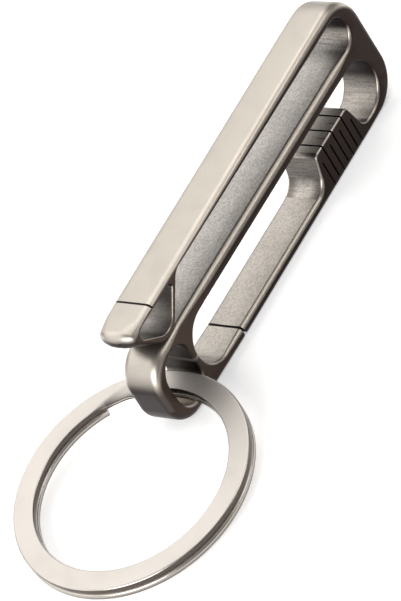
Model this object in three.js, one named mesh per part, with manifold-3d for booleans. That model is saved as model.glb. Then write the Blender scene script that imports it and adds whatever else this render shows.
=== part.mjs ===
// A pocket clip and carabiner for keys, cut from one titanium plate, with a flat-wire split ring.
// It stands on the long edge of its sprung gate, with the clip arm on top and the ring lying towards -X.
// Lengths are in millimetres. Plan positions run along X from the centre of the ring eye, and up Z from
// the gate edge. The plate's thickness runs along Y.

import * as THREE from 'three';
import { mergeVertices } from 'three/addons/utils/BufferGeometryUtils.js';
import Module from 'manifold-3d';

// Plate
const PLATE_T = 5.7;
const RIM_R = 0.7;
const SLOT_EDGE_R = 0.3;
const OPENING_EDGE_R = 0.4;
const EYE_EDGE_R = 0.4;
const TOP_X = 52.3;
const FOOT_CORNER_R = 5.15;
const SHOULDER_R = 5.9;

// Ring eye at the lower end
const EYE_END_X = -5.85;
const EYE_FOOT_R = 3.5;
const EYE_CLIP_SIDE_R = 4.4;
const EYE_HOLE_END_X = -3.95;
const EYE_HOLE_LOW_Z = 1.45;
const EYE_HOLE_HIGH_Z = 9.4;
const EYE_HOLE_LOW_R = 2.6;
const EYE_HOLE_HIGH_R = 3.05;
const EYE_CEILING_X = 1.3;
const EYE_CEILING_LOW_R = 0.7;
const EYE_CEILING_HIGH_R = 2.0;
const EYE_SLIT_Z = 5.32;
const EYE_SLIT_W = 0.5;

// Spine, and the long opening between spine and gate
const SPINE_TOP_Z = 10.9;
const OPENING_LOW_X = 2.1;
const OPENING_HIGH_X = 49.55;
const OPENING_LOW_Z = 1.4;
const OPENING_HIGH_Z = 9.0;
const OPENING_R = 3.8;

// Folded spring block that carries the gate
const BLOCK_TOP_Z = 6.0;
const BLOCK_HIGH_X = 42.3;
const BLOCK_HIGH_FOOT_X = 43.57;
const BLOCK_LOW_X = 33.9;
const BLOCK_LOW_FOOT_X = 32.43;
const FOLD_W = 0.26;
const FOLD_PITCH = 1.27;
const FOLD_MID_X = 38.17;
const FOLD_UP_TO = [4.2, 4.95, 4.95, 4.3];
const FOLD_DOWN_TO = 0.6;
const GATE_GAP_X = 9.7;
const GATE_GAP_W = 0.35;

// Clip arm and its sprung tip
const CLIP_SLOT_TOP_Z = 15.97;
const CLIP_SLOT_END_X = 49.475;
const CLIP_SLOT_R = 2.535;
const ARM_ROOT_X = 45.0;
const ARM_FACE_TOP_Z = 17.6;
const TIP_CORNER = new THREE.Vector2(-7.5, 16.38);
const TIP_R = 1.23;
const NOSE_END_X = -5.29;
const NOSE_CORNER_R = 1.5;
const TIP_APEX = new THREE.Vector2(0.54, 10.01);
const TIP_APEX_R = 2.9;
const TIP_ROOT_X = 6.18;
const TIP_HOLE_R = 0.2;
const TIP_SLIT_X = 0.2;
const TIP_SLIT_W = 0.3;
const STRIP_ANGLE = THREE.MathUtils.degToRad(47);
const STRIP_CUT = new THREE.Vector2(3.82, 13.97);

// Width of the cut where one member bends against the next
const FLEX_CUT = 0.1;

// Split ring: two turns of flat strip, its band passing through the eye
const RING_MID_R = 14.316;
const RING_STRIP_W = 2.846;
const RING_STRIP_T = 0.68;
const RING_PITCH = 1.1;
const RING_CORNER = 0.2;
const RING_CENTRE = new THREE.Vector3(-15.291, -1.396, 2.187);
const RING_TILT = THREE.MathUtils.degToRad(4.4);
const RING_LEAN = THREE.MathUtils.degToRad(1.7);
const RING_START = THREE.MathUtils.degToRad(14);
const RING_STEP_START = THREE.MathUtils.degToRad(-317);
const RING_STEP_END = THREE.MathUtils.degToRad(-335);
const RING_END = THREE.MathUtils.degToRad(-674.6);
const RING_STEPS = 118;

// The finished part's origin lies below the middle of its whole length and width, ring included
const RING_FAR_X = RING_CENTRE.x - (RING_MID_R + RING_STRIP_W / 2) * Math.cos(RING_TILT);
const ORIGIN_X = (TOP_X + RING_FAR_X) / 2;
const ORIGIN_Y = RING_CENTRE.y;

const ARC_SAG = 0.02;

const wasm = await Module();
wasm.setup();

// An outline from its sharp corners, each rounded with its own radius
function rounded(corners) {
  const points = [];
  const count = corners.length;
  corners.forEach(([x, z, radius], i) => {
    const before = corners[(i + count - 1) % count];
    const after = corners[(i + 1) % count];
    const corner = new THREE.Vector2(x, z);
    const back = new THREE.Vector2(before[0] - x, before[1] - z).normalize();
    const ahead = new THREE.Vector2(after[0] - x, after[1] - z).normalize();
    const half = Math.acos(THREE.MathUtils.clamp(back.dot(ahead), -1, 1)) / 2;
    const toCentre = back.clone().add(ahead).normalize();
    const centre = corner.clone().addScaledVector(toCentre, radius / Math.sin(half));
    const first = corner.clone().addScaledVector(back, radius / Math.tan(half)).sub(centre);
    const last = corner.clone().addScaledVector(ahead, radius / Math.tan(half)).sub(centre);
    const clockwise = first.cross(last) < 0;
    const arc = new THREE.EllipseCurve(
      centre.x, centre.y, radius, radius, first.angle(), last.angle(), clockwise,
    );
    const step = 2 * Math.acos(1 - ARC_SAG / radius);
    const segments = Math.max(2, Math.ceil((Math.PI - 2 * half) / step));
    points.push(...arc.getPoints(segments));
  });
  return points;
}

// A plate of the full thickness, its plan in X and Z, with its edges rounded over
function plate(shape, edge) {
  const geometry = new THREE.ExtrudeGeometry(shape, {
    depth: PLATE_T - 2 * edge,
    bevelEnabled: true,
    bevelThickness: edge,
    bevelSize: edge,
    bevelOffset: -edge,
    bevelSegments: 3,
  });
  geometry.translate(0, 0, edge - PLATE_T / 2);
  geometry.rotateX(Math.PI / 2);
  return solid(geometry);
}

// A sheet larger than the part, with one hole through it whose edges are rounded over
function sheetWithHole(corners, edge) {
  const sheet = new THREE.Shape(
    [[-20, -10], [70, -10], [70, 30], [-20, 30]].map(([x, z]) => new THREE.Vector2(x, z)),
  );
  sheet.holes.push(new THREE.Path(rounded(corners)));
  return plate(sheet, edge);
}

// A straight prism through the plate, for cutting and for dividing it
function prism(corners) {
  const shape = new THREE.Shape(corners.map(([x, z]) => new THREE.Vector2(x, z)));
  const geometry = new THREE.ExtrudeGeometry(shape, { depth: PLATE_T + 4, bevelEnabled: false });
  geometry.translate(0, 0, -PLATE_T / 2 - 2);
  geometry.rotateX(Math.PI / 2);
  return solid(geometry);
}

function block(lowX, highX, lowZ, highZ) {
  return prism([[lowX, lowZ], [highX, lowZ], [highX, highZ], [lowX, highZ]]);
}

function solid(geometry) {
  const bare = geometry.index ? geometry.clone() : geometry;
  bare.deleteAttribute('normal');
  bare.deleteAttribute('uv');
  const joined = mergeVertices(bare, 1e-5);
  return new wasm.Manifold(new wasm.Mesh({
    numProp: 3,
    vertProperties: new Float32Array(joined.attributes.position.array),
    triVerts: new Uint32Array(joined.index.array),
  }));
}

function surface(body) {
  const mesh = body.getMesh();
  const geometry = new THREE.BufferGeometry();
  geometry.setAttribute('position', new THREE.BufferAttribute(new Float32Array(mesh.vertProperties), 3));
  geometry.setIndex(new THREE.BufferAttribute(new Uint32Array(mesh.triVerts), 1));
  geometry.computeVertexNormals();
  return geometry;
}

// The whole plate: its outline with the clip slot, and the same rim with that slot closed
const outline = rounded([
  [EYE_END_X, 0, EYE_FOOT_R],
  [TOP_X, 0, FOOT_CORNER_R],
  [TOP_X, ARM_FACE_TOP_Z, SHOULDER_R],
  [TIP_CORNER.x, TIP_CORNER.y, TIP_R],
  [TIP_APEX.x, TIP_APEX.y, TIP_APEX_R],
  [TIP_ROOT_X, CLIP_SLOT_TOP_Z, 2.0],
  [CLIP_SLOT_END_X, CLIP_SLOT_TOP_Z, CLIP_SLOT_R],
  [CLIP_SLOT_END_X, SPINE_TOP_Z, CLIP_SLOT_R],
  [EYE_END_X, SPINE_TOP_Z, EYE_CLIP_SIDE_R],
]);
const rim = rounded([
  [EYE_END_X, 0, EYE_FOOT_R],
  [TOP_X, 0, FOOT_CORNER_R],
  [TOP_X, ARM_FACE_TOP_Z, SHOULDER_R],
  [TIP_CORNER.x, TIP_CORNER.y, TIP_R],
  [-0.58, SPINE_TOP_Z, 0.3],
  [EYE_END_X, SPINE_TOP_Z, EYE_CLIP_SIDE_R],
]);
const opening = [
  [OPENING_LOW_X, OPENING_LOW_Z, OPENING_R],
  [BLOCK_LOW_FOOT_X, OPENING_LOW_Z, 2.4],
  [BLOCK_LOW_X, BLOCK_TOP_Z, 0.8],
  [BLOCK_HIGH_X, BLOCK_TOP_Z, 0.7],
  [BLOCK_HIGH_FOOT_X, OPENING_LOW_Z, 1.6],
  [OPENING_HIGH_X, OPENING_LOW_Z, OPENING_R],
  [OPENING_HIGH_X, OPENING_HIGH_Z, OPENING_R],
  [OPENING_LOW_X, OPENING_HIGH_Z, OPENING_R],
];
const eye = [
  [EYE_HOLE_END_X, EYE_HOLE_LOW_Z, EYE_HOLE_LOW_R],
  [EYE_CEILING_X, EYE_HOLE_LOW_Z, EYE_CEILING_LOW_R],
  [EYE_CEILING_X, EYE_HOLE_HIGH_Z, EYE_CEILING_HIGH_R],
  [EYE_HOLE_END_X, EYE_HOLE_HIGH_Z, EYE_HOLE_HIGH_R],
];
const tipHole = [
  [-4.92, 15.75, 0.85],
  [0.6, 10.95, 2.2],
  [5.08, 15.75, 0.5],
];
let whole = plate(new THREE.Shape(outline), SLOT_EDGE_R);
whole = whole.intersect(plate(new THREE.Shape(rim), RIM_R));
whole = whole.intersect(sheetWithHole(opening, OPENING_EDGE_R));
whole = whole.intersect(sheetWithHole(eye, EYE_EDGE_R));
whole = whole.intersect(sheetWithHole(tipHole, TIP_HOLE_R));

// Fold slots of the spring, alternately from the gate edge and from the opening
const foldX = [3, 2, 1, 0, -1, -2, -3].map((n) => FOLD_MID_X + n * FOLD_PITCH);
foldX.forEach((x, i) => {
  const low = i % 2 === 0 ? -1 : FOLD_DOWN_TO;
  const high = i % 2 === 0 ? FOLD_UP_TO[i / 2] : BLOCK_TOP_Z + 1;
  whole = whole.subtract(block(x - FOLD_W / 2, x + FOLD_W / 2, low, high));
});

// Gap at the gate's free end, eased on the gate's outer corner
whole = whole.subtract(prism([
  [GATE_GAP_X - GATE_GAP_W / 2, -1],
  [GATE_GAP_X + GATE_GAP_W / 2 + 1.1, -1],
  [GATE_GAP_X + GATE_GAP_W / 2 + 0.3, 0.1],
  [GATE_GAP_X + GATE_GAP_W / 2, 0.5],
  [GATE_GAP_X + GATE_GAP_W / 2, OPENING_LOW_Z + 1],
  [GATE_GAP_X - GATE_GAP_W / 2, OPENING_LOW_Z + 1],
]));

// Slit between spine and hook into the eye, and the slit that frees the clip's tip
whole = whole.subtract(block(
  0, OPENING_LOW_X + 2, EYE_SLIT_Z - EYE_SLIT_W / 2, EYE_SLIT_Z + EYE_SLIT_W / 2,
));
whole = whole.subtract(block(TIP_SLIT_X - TIP_SLIT_W / 2, TIP_SLIT_X + TIP_SLIT_W / 2, 15, 19));

// Regions that belong to the clip and to its tip, grown or drawn in by a part of the flex cut
function clipRegion(grow) {
  return prism([
    [-12, 11.02],
    [5.5, 11.02],
    [8, 13.4],
    [ARM_ROOT_X + grow, 13.4],
    [ARM_ROOT_X + grow, 20],
    [-12, 20],
  ]);
}

function tipRegion(grow) {
  const across = new THREE.Vector2(Math.sin(STRIP_ANGLE), -Math.cos(STRIP_ANGLE));
  const along = new THREE.Vector2(Math.cos(STRIP_ANGLE), Math.sin(STRIP_ANGLE));
  const cut = STRIP_CUT.clone().addScaledVector(along, grow);
  const inside = cut.clone().addScaledVector(across, -0.8);
  const outside = cut.clone().addScaledVector(across, 1.1);
  return prism([
    [-12, 11.0],
    [outside.x, 11.0],
    [outside.x, outside.y],
    [inside.x, inside.y],
    [TIP_SLIT_X, 15.2],
    [TIP_SLIT_X, 20],
    [-12, 20],
  ]);
}

// A block over the tip whose corners at the nose are round when seen from above
function nosePlan() {
  const wide = PLATE_T / 2;
  const plan = rounded([
    [NOSE_END_X, -wide, NOSE_CORNER_R],
    [20, -wide, 0.5],
    [20, wide, 0.5],
    [NOSE_END_X, wide, NOSE_CORNER_R],
  ]);
  return solid(new THREE.ExtrudeGeometry(new THREE.Shape(plan), { depth: 30, bevelEnabled: false }));
}

// The divided members, each bending against the next at a flex cut
const half = FLEX_CUT / 2;
const gateSideZ = 7.5;
const members = new Map();
members.set('frame', whole
  .subtract(block(GATE_GAP_X, foldX[0] + half, -2, gateSideZ))
  .subtract(clipRegion(half)));
members.set('clip_arm', whole.intersect(clipRegion(-half)).subtract(tipRegion(half)));
members.set('clip_tip', whole.intersect(tipRegion(-half)).intersect(nosePlan()));
foldX.slice(1).forEach((x, i) => {
  const leaf = block(x + half, foldX[i] - half, -2, gateSideZ);
  members.set(`gate_leaf_${i + 1}`, whole.intersect(leaf));
});
members.set('gate', whole.intersect(block(GATE_GAP_X, foldX[6] - half, -2, gateSideZ)));

// Centre line of the ring's strip: one turn above, a step down, then one turn below
class StripLine extends THREE.Curve {
  getPoint(t, target = new THREE.Vector3()) {
    const angle = THREE.MathUtils.lerp(RING_START, RING_END, t);
    const drop = THREE.MathUtils.smoothstep(-angle, -RING_STEP_START, -RING_STEP_END);
    return target.set(
      RING_MID_R * Math.cos(angle),
      RING_MID_R * Math.sin(angle),
      RING_PITCH * (0.5 - drop),
    );
  }

  // The strip's flat side keeps facing along the ring's axis
  computeFrenetFrames(segments) {
    const tangents = [];
    const normals = [];
    const binormals = [];
    for (let i = 0; i <= segments; i += 1) {
      const tangent = this.getTangentAt(i / segments);
      const normal = new THREE.Vector3(0, 0, 1).addScaledVector(tangent, -tangent.z).normalize();
      tangents.push(tangent);
      normals.push(normal);
      binormals.push(new THREE.Vector3().crossVectors(tangent, normal));
    }
    return { tangents, normals, binormals };
  }
}

function ringSection() {
  const t = RING_STRIP_T / 2;
  const w = RING_STRIP_W / 2;
  const c = RING_CORNER;
  return new THREE.Shape([
    [-t, -w + c], [-t + c, -w], [t - c, -w], [t, -w + c],
    [t, w - c], [t - c, w], [-t + c, w], [-t, w - c],
  ].map(([x, y]) => new THREE.Vector2(x, y)));
}

// Least gap between the two turns, measured from points on both sides of the strip
function ringGap() {
  const line = new StripLine();
  const turn = 2 * Math.PI;
  const span = RING_START - RING_END;
  let least = Infinity;
  for (let i = 0; i <= 2000; i += 1) {
    const upper = line.getPoint(i / 2000);
    const start = i / 2000 + (turn * 0.5) / span;
    for (let t = start; t <= 1; t += 1 / 2000) {
      const lower = line.getPoint(t);
      const away = Math.hypot(upper.x - lower.x, upper.y - lower.y);
      const rise = Math.max(0, Math.abs(upper.z - lower.z) - RING_STRIP_T);
      least = Math.min(least, Math.hypot(Math.max(0, away - 0.02), rise));
    }
  }
  return least;
}

const ringGeometry = new THREE.ExtrudeGeometry(ringSection(), {
  steps: RING_STEPS,
  bevelEnabled: false,
  extrudePath: new StripLine(),
});
ringGeometry.rotateY(-RING_TILT);
ringGeometry.rotateX(RING_LEAN);
ringGeometry.translate(RING_CENTRE.x, RING_CENTRE.y, RING_CENTRE.z);
members.set('split_ring', solid(ringGeometry));
console.log(`split ring: least gap between turns ${ringGap().toFixed(3)} mm`);

// Finishes
const titanium = new THREE.MeshStandardMaterial({ color: 0xb4aca3, roughness: 0.42, metalness: 1.0 });
const steel = new THREE.MeshStandardMaterial({ color: 0xd2d0cc, roughness: 0.28, metalness: 1.0 });
titanium.name = 'titanium';
steel.name = 'steel';

const part = new THREE.Group();
part.name = 'carabiner_keychain';
members.forEach((body, name) => {
  const geometry = surface(body);
  geometry.translate(-ORIGIN_X, -ORIGIN_Y, 0);
  const mesh = new THREE.Mesh(geometry, name === 'split_ring' ? steel : titanium);
  mesh.name = name;
  part.add(mesh);
});

export default part;
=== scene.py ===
"""A pocket clip and carabiner cut from one titanium plate, with a split ring through its eye."""

import logging
import math
from dataclasses import dataclass, field
from enum import Enum
from typing import Any, NamedTuple, Optional, Sequence, Union

import bmesh
import bpy
from mathutils import Matrix, Vector


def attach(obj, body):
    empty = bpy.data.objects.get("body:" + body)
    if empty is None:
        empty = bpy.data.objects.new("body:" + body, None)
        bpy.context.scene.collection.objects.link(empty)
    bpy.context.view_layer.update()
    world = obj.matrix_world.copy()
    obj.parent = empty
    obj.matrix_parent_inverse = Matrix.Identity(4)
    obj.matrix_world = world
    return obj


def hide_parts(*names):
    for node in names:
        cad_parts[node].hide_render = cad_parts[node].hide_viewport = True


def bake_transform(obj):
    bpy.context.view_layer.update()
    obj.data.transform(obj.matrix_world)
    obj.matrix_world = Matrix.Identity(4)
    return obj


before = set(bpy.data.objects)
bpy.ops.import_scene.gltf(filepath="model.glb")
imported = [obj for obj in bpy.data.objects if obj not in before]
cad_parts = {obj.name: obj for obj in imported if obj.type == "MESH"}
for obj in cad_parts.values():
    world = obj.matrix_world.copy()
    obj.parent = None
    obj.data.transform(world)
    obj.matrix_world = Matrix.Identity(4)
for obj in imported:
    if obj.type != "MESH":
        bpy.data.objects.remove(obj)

log = logging.getLogger("carabiner_keychain")

MM = 0.001
EYE_FROM_ORIGIN = (-10.658195, 1.396, 0.0)
TO_ROW = Matrix.Diagonal((MM, MM, MM, 1.0)) @ Matrix.Translation(EYE_FROM_ORIGIN)
ARC_STEP = math.radians(5.0)
LEAST_ARC_STEPS = 3
LEAST_MITRE = 0.5
SHARP_ANGLE = math.radians(32.0)
FACE_WEIGHT = 100
SAME_PLACE = 1e-5
TOUCHING = 1e-4
BLACK = (0.0, 0.0, 0.0)

Number = Union[int, float]
Plan = tuple[float, float]
Span = tuple[float, float]
Colour = tuple[float, float, float]
Point = tuple[float, float, float]
Layer = bmesh.types.BMLayerItem


class Slot(Enum):
    """Material slots that the record names."""

    TITANIUM = "titanium"
    RING_STEEL = "ring_steel"


class Cut(Enum):
    """Ways in which a prism divides the plate."""

    KEEP_INSIDE = "INTERSECT"
    TAKE_AWAY = "DIFFERENCE"


class Wire:
    """A shader socket on which Python's operators add Math nodes."""

    def __init__(self, sheet: "ShaderSheet", socket: bpy.types.NodeSocket) -> None:
        """Keep the sheet that the socket belongs to, and the socket."""
        self.sheet = sheet
        self.socket = socket

    def _math(self, operation: str, *terms: Union["Wire", Number]) -> "Wire":
        """Add one Math node for the given terms."""
        return self.sheet.node("ShaderNodeMath", {"operation": operation}, dict(enumerate(terms)))

    def __add__(self, other: Union["Wire", Number]) -> "Wire":
        """Sum."""
        return self._math("ADD", self, other)

    def __radd__(self, other: Number) -> "Wire":
        """Sum with a number on the left."""
        return self._math("ADD", other, self)

    def __sub__(self, other: Union["Wire", Number]) -> "Wire":
        """Difference."""
        return self._math("SUBTRACT", self, other)

    def __rsub__(self, other: Number) -> "Wire":
        """Difference from a number on the left."""
        return self._math("SUBTRACT", other, self)

    def __mul__(self, other: Union["Wire", Number]) -> "Wire":
        """Product."""
        return self._math("MULTIPLY", self, other)

    def __rmul__(self, other: Number) -> "Wire":
        """Product with a number on the left."""
        return self._math("MULTIPLY", other, self)

    def __abs__(self) -> "Wire":
        """Size without sign."""
        return self._math("ABSOLUTE", self)

    def ramp(self, span: Span) -> "Wire":
        """Return a smooth step from 0 at the span's start to 1 at its end."""
        limits = {"Value": self, "From Min": span[0], "From Max": span[1]}
        return self.sheet.node("ShaderNodeMapRange", {"interpolation_type": "SMOOTHSTEP"}, limits)

    def fall(self, span: Span) -> "Wire":
        """Return a smooth step from 1 at the span's start to 0 at its end."""
        return 1.0 - self.ramp(span)

    def near(self, middle: float, reach: Span) -> "Wire":
        """Return 1 up to the reach's first distance from the middle and 0 from its second on."""
        return abs(self - middle).fall(reach)


@dataclass(frozen=True)
class Pattern:
    """Noise that changes so often per metre along each axis, with its detail and roughness."""

    per_metre: Point
    detail: float
    rough: float


class ShaderSheet:
    """The node tree of one finish."""

    # Sockets of a Mix node that blends colours
    MIX_SHARE, MIX_FIRST, MIX_SECOND, MIX_RESULT = 0, 6, 7, 2

    def __init__(self, name: str) -> None:
        """Start an empty material.

        Args:
            name: The material's name.
        """
        self.material = bpy.data.materials.new(name)
        self.material.use_nodes = True
        self.tree = self.material.node_tree
        self.tree.nodes.clear()

    def node(
        self,
        kind: str,
        settings: Optional[dict[str, Any]] = None,
        inputs: Optional[dict[Union[int, str], Any]] = None,
        output: Union[int, str] = 0,
    ) -> Wire:
        """Add a node, set it up, feed its sockets and hand back one output.

        Args:
            kind: The node's type.
            settings: Properties of the node, set before its sockets.
            inputs: Values or wires, by socket name or index.
            output: Name or index of the output that is wanted.

        Returns:
            The chosen output.
        """
        made = self.tree.nodes.new(kind)
        for key, value in (settings or {}).items():
            setattr(made, key, value)
        for key, value in (inputs or {}).items():
            if isinstance(value, Wire):
                self.tree.links.new(value.socket, made.inputs[key])
            else:
                made.inputs[key].default_value = value
        return Wire(self, made.outputs[output]) if made.outputs else Wire(self, made.inputs[0])

    def parts(self, vector: Wire) -> list[Wire]:
        """Return a vector's X, Y and Z."""
        kind = "ShaderNodeSeparateXYZ"
        return [self.node(kind, None, {0: vector}, output=axis) for axis in "XYZ"]

    def stretched(self, place: Wire, factors: Point) -> Wire:
        """Return the place multiplied by its own factor along each axis."""
        return self.node("ShaderNodeVectorMath", {"operation": "MULTIPLY"}, {0: place, 1: factors})

    def noise(self, place: Wire, pattern: Pattern) -> Wire:
        """Add a noise pattern.

        Args:
            place: Where on the surface it is read.
            pattern: The pattern.

        Returns:
            Its value, about 0.5 on average.
        """
        inputs = {"Vector": self.stretched(place, pattern.per_metre), "Scale": 1.0}
        inputs |= {"Detail": pattern.detail, "Roughness": pattern.rough}
        return self.node("ShaderNodeTexNoise", None, inputs)

    def blend_colour(
        self, share: Wire, first: Union[Wire, Colour], second: Union[Wire, Colour]
    ) -> Wire:
        """Blend two colours.

        Args:
            share: How much of the second colour there is, from 0 to 1.
            first: The colour at 0.
            second: The colour at 1.

        Returns:
            The blended colour.
        """
        low, high = (end if isinstance(end, Wire) else (*end, 1.0) for end in (first, second))
        inputs = {self.MIX_SHARE: share, self.MIX_FIRST: low, self.MIX_SECOND: high}
        return self.node("ShaderNodeMix", {"data_type": "RGBA"}, inputs, output=self.MIX_RESULT)

    def bump(self, height: Wire, depth: float) -> Wire:
        """Return a normal from a height between 0 and 1 and its depth in metres."""
        inputs = {"Strength": 1.0, "Distance": depth, "Height": height}
        return self.node("ShaderNodeBump", None, inputs)

    def surface(self, inputs: dict[str, Any]) -> bpy.types.Material:
        """Finish the sheet with a Principled shader.

        Args:
            inputs: The shader's values and wires, by socket name.

        Returns:
            The finished material.
        """
        shader = self.node("ShaderNodeBsdfPrincipled", None, inputs)
        self.node("ShaderNodeOutputMaterial", None, {"Surface": shader})
        return self.material


@dataclass(frozen=True)
class BlastedTitanium:
    """Bare blasted titanium, with light and shade painted into its colour.

    What faces up is painted pale and satin as painted light, and the rest a dull brown as
    painted shade, darkest on the broad faces. Walls inside the plate are grainier, and in the clip
    slot greyer. Curved walls keep fine cutter marks through the thickness, and a thin dark line of
    painted shade runs where a rim meets a wall inside the plate.
    """

    name: str = "blasted_titanium"
    tone: Colour = (0.50, 0.462, 0.412)
    dull_tone: Colour = (0.26, 0.243, 0.228)
    slot_tone: Colour = (0.475, 0.450, 0.420)
    slot_dull_tone: Colour = (0.205, 0.200, 0.194)
    rim_highlight_tone: Colour = (0.56, 0.505, 0.44)
    wall_shade_tone: Colour = (0.034, 0.027, 0.026)
    face_shade_tone: Colour = (0.019, 0.0105, 0.0080)
    face_low_shade_tone: Colour = (0.054, 0.036, 0.028)
    crease_shade_tone: Colour = (0.10, 0.088, 0.08)
    roughness: float = 0.40
    bump_depth: float = 9.0e-6
    grain: Pattern = Pattern((4000.0, 4000.0, 4000.0), 4.0, 0.65)
    cloud: Pattern = Pattern((260.0, 260.0, 260.0), 3.0, 0.55)
    marks: Pattern = Pattern((6500.0, 220.0, 6500.0), 1.0, 0.5)

    # Where the plate's regions begin and end along it and up it, in metres
    past_eye_x: Span = (-0.0085, -0.0065)
    low_face_x: Span = (-0.012, 0.004)
    under_arm_z: Span = (0.0140, 0.0150)
    tip_hole_x: Span = (-0.0046, -0.0040)
    tip_hole_z: Span = (0.0109, 0.0112)
    slot_z: Span = (0.0102, 0.0108)
    slot_corner_x: float = 0.0370
    slot_corner_reach: Span = (0.0004, 0.0034)
    spring_top_z: float = 0.0060
    spring_top_reach: Span = (0.0003, 0.0008)
    eye_slit_x: float = -0.00096
    eye_slit_reach: Span = (0.0005, 0.0012)
    eye_slit_z: Span = (0.0020, 0.0024)
    top_hole_x: Span = (0.0316, 0.0322)
    top_hole_z: Span = (0.0086, 0.0092)

    # How far a surface faces up, along the plate or through it, from 0 to 1
    lit_rise: Span = (0.10, 0.60)
    slot_rise: Span = (0.6, 0.95)
    spring_top_rise: Span = (0.85, 0.97)
    rim_rise: Span = (-0.10, 0.30)
    rim_start: Span = (0.15, 0.50)
    rim_end: Span = (0.72, 0.95)
    crease_shade_start: Span = (0.02, 0.06)
    crease_shade_end: Span = (0.14, 0.28)
    face_start: Span = (0.75, 0.97)
    wall_end: Span = (0.20, 0.60)
    curved_wall_end: Span = (0.10, 0.40)
    curved_wall_rise: Span = (0.93, 0.99)
    slit_wall: Span = (0.80, 0.95)

    # Which part of a pattern dulls the metal, and shares of each pattern and region in the finish;
    # the rim shares give a painted highlight, and the spring, slot, hole and crease shares painted
    # shade
    speckle_span: Span = (0.34, 0.68)
    cloud_span: Span = (0.35, 0.7)
    marks_span: Span = (0.35, 0.65)
    cloud_share: float = 0.12
    speckle_share: float = 0.08
    inner_speckle_share: float = 0.55
    marks_share: float = 0.5
    spring_top_shade_share: float = 0.27
    slot_corner_shade_share: float = 0.5
    rim_highlight_share: float = 0.5
    rim_highlight_cloud_share: float = 0.4
    rim_lit_share: float = 0.40
    shade_speckle_share: float = 0.12
    shade_marks_share: float = 0.2
    crease_shade_share: float = 0.75
    hole_shade_share: float = 0.35
    top_hole_shade_share: float = 0.6
    tip_hole_shade_share: float = 1.4
    rough_spread: float = 0.08
    rough_marks: float = 0.12
    rim_polish: float = 0.05
    relief: float = 0.15
    inner_relief: float = 0.6
    marks_relief: float = 0.5

    def make(self) -> bpy.types.Material:
        """Build the material.

        Returns:
            The finished material.
        """
        sheet = ShaderSheet(self.name)
        blend = sheet.blend_colour
        place = sheet.node("ShaderNodeTexCoord", output="Object")
        length, _, height = sheet.parts(place)
        endwise, through, rising = sheet.parts(sheet.node("ShaderNodeTexCoord", output="Normal"))
        endwise, through = abs(endwise), abs(through)
        past_eye = length.ramp(self.past_eye_x)
        inside = height.fall(self.under_arm_z)
        tip_hole = length.fall(self.tip_hole_x) * height.ramp(self.tip_hole_z)
        grainy = inside * (past_eye + (1.0 - past_eye) * tip_hole)
        slot = height.ramp(self.slot_z) * grainy * rising.ramp(self.slot_rise)
        # The clip slot's floor near its end at the top is darkened as painted shade.
        slot_corner = slot * length.near(self.slot_corner_x, self.slot_corner_reach)
        # The folded spring's top, under the spine, is darkened as painted shade.
        spring_top = height.near(self.spring_top_z, self.spring_top_reach)
        spring_top = spring_top * rising.ramp(self.spring_top_rise)
        # The end walls of the slit here are painted dark as painted shade.
        slit = length.near(self.eye_slit_x, self.eye_slit_reach) * height.fall(self.eye_slit_z)
        slit = slit * endwise.ramp(self.slit_wall)
        # Walls in the top hole and the tip's hole lose part of their painted light: painted shade
        # in the holes.
        top_hole = length.ramp(self.top_hole_x) * height.fall(self.top_hole_z)
        hole_shade = top_hole * self.top_hole_shade_share + tip_hole * inside * self.tip_hole_shade_share
        hole_shade = hole_shade * through.fall(self.wall_end)
        # Rims that face up get a painted highlight, and are also polished to a lower roughness.
        rim = through.ramp(self.rim_start) - through.ramp(self.rim_end)
        rim = rim * rising.ramp(self.rim_rise)
        # A thin dark line of painted shade where a rim meets a wall inside the plate.
        line = (through.ramp(self.crease_shade_start) - through.ramp(self.crease_shade_end)) * grainy
        curved = through.fall(self.curved_wall_end) * abs(rising).fall(self.curved_wall_rise)
        curved = curved * past_eye
        patterns = (self.grain, self.cloud, self.marks)
        grain, cloud, marks = (sheet.noise(place, pattern) for pattern in patterns)
        speckle = grain.ramp(self.speckle_span)
        dull = cloud.ramp(self.cloud_span) * self.cloud_share
        dull = dull + speckle * (self.speckle_share + self.inner_speckle_share * grainy)
        dull = dull + curved * marks.ramp(self.marks_span) * self.marks_share
        colour = blend(dull, self.tone, self.dull_tone)
        colour = blend(slot, colour, blend(dull, self.slot_tone, self.slot_dull_tone))
        # Painted shade on the spring's top and at the slot's end.
        corners = spring_top * self.spring_top_shade_share + slot_corner * self.slot_corner_shade_share
        colour = blend(corners, colour, self.wall_shade_tone)
        # Painted highlight on the rims that face up.
        colour = blend(rim * (self.rim_highlight_share + self.rim_highlight_cloud_share * cloud), colour, self.rim_highlight_tone)
        # Surfaces that don't face up take a dark brown painted shade: walls one tone, broad faces
        # darker, lighter toward the eye end.
        face = blend(length.ramp(self.low_face_x), self.face_low_shade_tone, self.face_shade_tone)
        painted_shade = blend(through.ramp(self.face_start), self.wall_shade_tone, face)
        worn = self.shade_speckle_share * speckle + self.shade_marks_share * curved * marks
        painted_shade = blend(worn, painted_shade, self.wall_shade_tone)
        # What faces up takes the pale colour as painted light, laid over the painted shade.
        pale = rising.ramp(self.lit_rise) * (1.0 - self.hole_shade_share * hole_shade)
        colour = blend(pale + self.rim_lit_share * rim, painted_shade, colour)
        colour = blend(line * self.crease_shade_share, colour, self.crease_shade_tone)
        # The slit's walls take the broad faces' painted shade.
        colour = blend(slit, colour, self.face_shade_tone)
        rough = self.roughness + self.rough_spread * (grain - 0.5)
        rough = rough + self.rough_spread * (cloud - 0.5)
        rough = rough + curved * (marks - 0.5) * self.rough_marks - self.rim_polish * rim
        relief = grain * (self.relief + self.inner_relief * grainy)
        relief = relief + curved * marks * self.marks_relief
        return sheet.surface(
            {
                "Base Color": colour,
                "Metallic": 1.0,
                "Roughness": rough,
                "Normal": sheet.bump(relief, self.bump_depth),
            }
        )


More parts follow.
